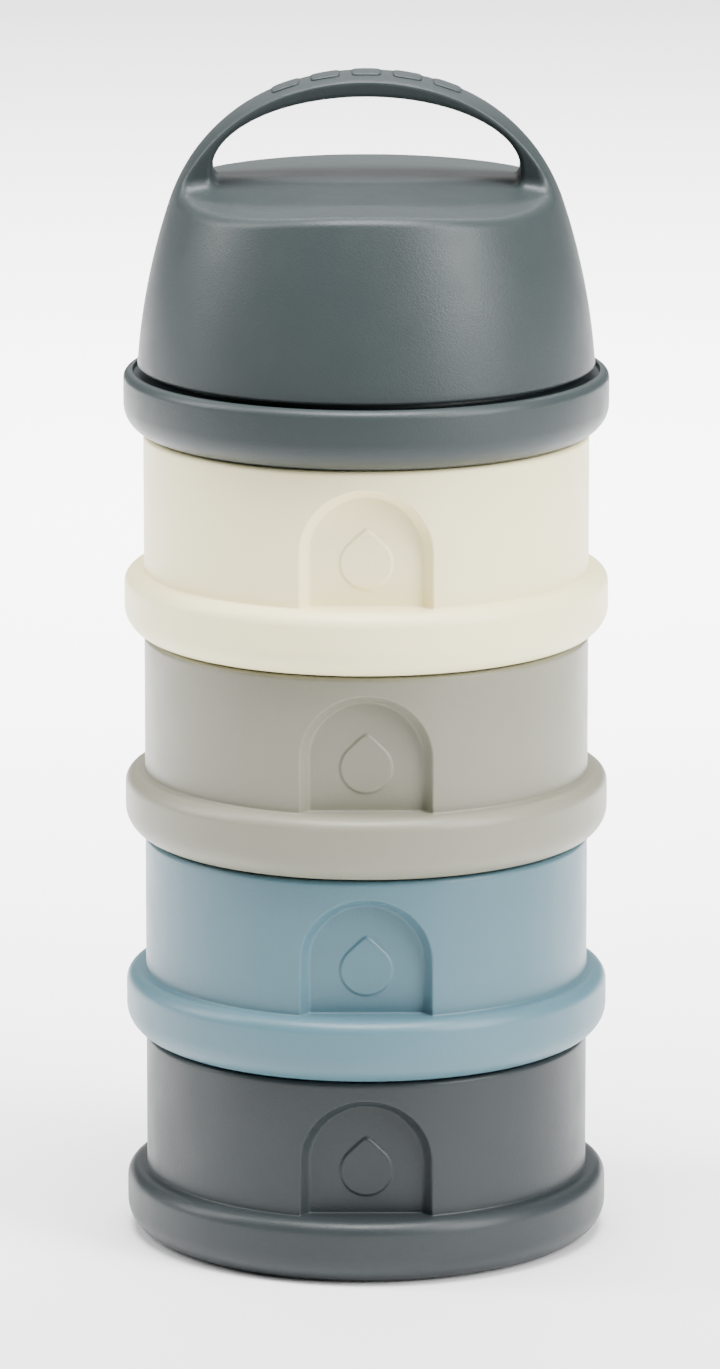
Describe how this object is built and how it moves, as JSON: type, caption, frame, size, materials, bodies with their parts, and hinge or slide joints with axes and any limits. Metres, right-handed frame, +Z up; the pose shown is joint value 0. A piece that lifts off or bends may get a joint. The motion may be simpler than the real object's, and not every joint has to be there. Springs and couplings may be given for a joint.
{
  "type": "formula dispenser",
  "caption": "Stackable milk-powder dispenser: round screw-together containers with grip rings, a pouring spout with collar, and a domed screw cap with carrying handle.",
  "frame": {"origin": "centre of the foot ring of the lowest container, on the surface it stands on", "axes": "+Z up along the stack towards the handle; the arched recesses face -Y; the handle's strap runs along X"},
  "size_m": [0.09, 0.09, 0.2196],
  "materials": {
    "slate_plastic": "satin moulded polypropylene, fine texture",
    "cream_plastic": "satin moulded polypropylene, fine texture",
    "taupe_plastic": "satin moulded polypropylene, fine texture",
    "blue_plastic": "satin moulded polypropylene, fine texture",
    "grey_plastic": "satin moulded polypropylene, fine texture",
    "silicone": "smooth translucent-white silicone"
  },
  "bodies": {
    "grey_container": {"container_grey": "grey_plastic", "seal_grey": "silicone"},
    "blue_seal": {"seal_blue": "silicone"},
    "blue_container": {"container_blue": "blue_plastic"},
    "taupe_seal": {"seal_taupe": "silicone"},
    "taupe_container": {"container_taupe": "taupe_plastic"},
    "cream_seal": {"seal_cream": "silicone"},
    "cream_container": {"container_cream": "cream_plastic"},
    "spout_seal": {"spout_seal": "silicone"},
    "spout": {"spout": "slate_plastic"},
    "cap_seal": {"cap_seal": "silicone"},
    "cap": {"cap": "slate_plastic"}
  },
  "joints": [
    {"name": "blue_lift", "type": "slide", "parent": "grey_container", "child": "blue_seal", "axis": [0, 0, 1], "range_m": [0, 0.01]},
    {"name": "blue_turn", "type": "hinge", "parent": "blue_seal", "child": "blue_container", "pos_m": [0, 0, 0.0381], "axis": [0, 0, 1], "range_deg": [0, 300]},
    {"name": "taupe_lift", "type": "slide", "parent": "blue_container", "child": "taupe_seal", "axis": [0, 0, 1], "range_m": [0, 0.01]},
    {"name": "taupe_turn", "type": "hinge", "parent": "taupe_seal", "child": "taupe_container", "pos_m": [0, 0, 0.0762], "axis": [0, 0, 1], "range_deg": [0, 300]},
    {"name": "cream_lift", "type": "slide", "parent": "taupe_container", "child": "cream_seal", "axis": [0, 0, 1], "range_m": [0, 0.01]},
    {"name": "cream_turn", "type": "hinge", "parent": "cream_seal", "child": "cream_container", "pos_m": [0, 0, 0.1143], "axis": [0, 0, 1], "range_deg": [0, 300]},
    {"name": "spout_lift", "type": "slide", "parent": "cream_container", "child": "spout_seal", "axis": [0, 0, 1], "range_m": [0, 0.01]},
    {"name": "spout_turn", "type": "hinge", "parent": "spout_seal", "child": "spout", "pos_m": [0, 0, 0.1524], "axis": [0, 0, 1], "range_deg": [0, 300]},
    {"name": "cap_lift", "type": "slide", "parent": "spout", "child": "cap_seal", "axis": [0, 0, 1], "range_m": [0, 0.02]},
    {"name": "cap_turn", "type": "hinge", "parent": "cap_seal", "child": "cap", "pos_m": [0, 0, 0.1646], "axis": [0, 0, 1], "range_deg": [0, 600]}
  ],
  "couplings": [
    {"joint": "blue_lift", "follows": "blue_turn", "m_per_rad": 0.0019099},
    {"joint": "taupe_lift", "follows": "taupe_turn", "m_per_rad": 0.0019099},
    {"joint": "cream_lift", "follows": "cream_turn", "m_per_rad": 0.0019099},
    {"joint": "spout_lift", "follows": "spout_turn", "m_per_rad": 0.0019099},
    {"joint": "cap_lift", "follows": "cap_turn", "m_per_rad": 0.0019099}
  ]
}
